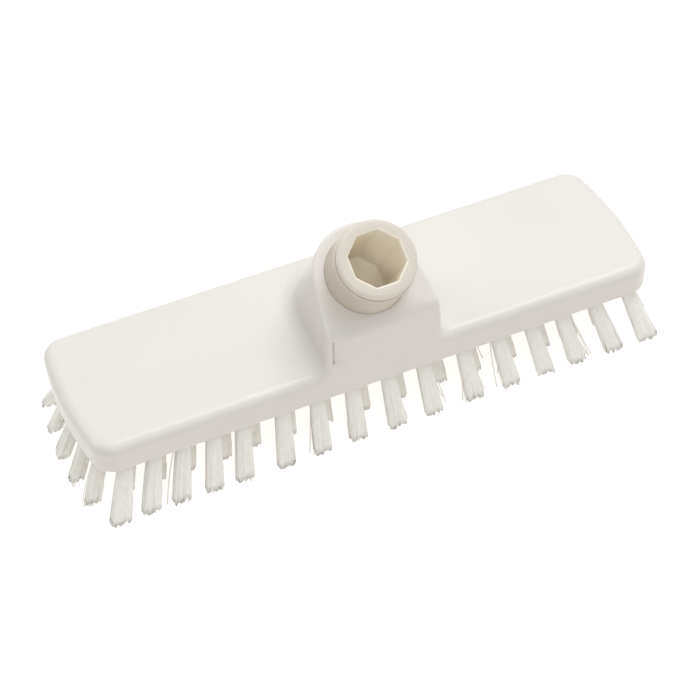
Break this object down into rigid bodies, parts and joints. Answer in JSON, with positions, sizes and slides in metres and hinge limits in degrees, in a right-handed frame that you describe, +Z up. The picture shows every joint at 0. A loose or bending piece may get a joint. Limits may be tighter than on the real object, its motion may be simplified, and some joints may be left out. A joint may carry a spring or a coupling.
{
  "type": "floor scrub brush",
  "caption": "Floor scrub brush head: a moulded block with bowed ends, a leaning hood with an octagonal handle socket pressed into it, and splayed rows of bristle tufts set with wire anchors.",
  "frame": {"origin": "the middle of the part's footprint, on the floor that the bristle tips stand on", "axes": "+X along the block, -Y towards the side that the handle leans to, +Z up from the floor"},
  "size_m": [0.2876, 0.0896, 0.1092],
  "materials": {
    "block": "smooth moulded, glossy",
    "handle_socket": "smooth moulded, a little warmer than the block",
    "bristles": "drawn filaments with ragged cut ends",
    "anchors": "flat wire"
  },
  "bodies": {
    "root": {"block": "block", "handle_socket": "handle_socket", "front_bristles": "bristles", "middle_bristles": "bristles", "back_bristles": "bristles", "row_1_anchors_1": "anchors", "row_1_anchors_2": "anchors", "row_1_anchors_3": "anchors", "row_1_anchors_4": "anchors", "row_2_anchors_1": "anchors", "row_2_anchors_2": "anchors", "row_2_anchors_3": "anchors", "row_2_anchors_4": "anchors", "row_3_anchors_1": "anchors", "row_3_anchors_2": "anchors", "row_3_anchors_3": "anchors", "row_3_anchors_4": "anchors", "row_4_anchors_1": "anchors", "row_4_anchors_2": "anchors", "row_4_anchors_3": "anchors", "row_4_anchors_4": "anchors", "row_5_anchors_1": "anchors", "row_5_anchors_2": "anchors", "row_5_anchors_3": "anchors", "row_5_anchors_4": "anchors", "row_6_anchors_1": "anchors", "row_6_anchors_2": "anchors", "row_6_anchors_3": "anchors", "row_6_anchors_4": "anchors"}
  },
  "joints": []
}
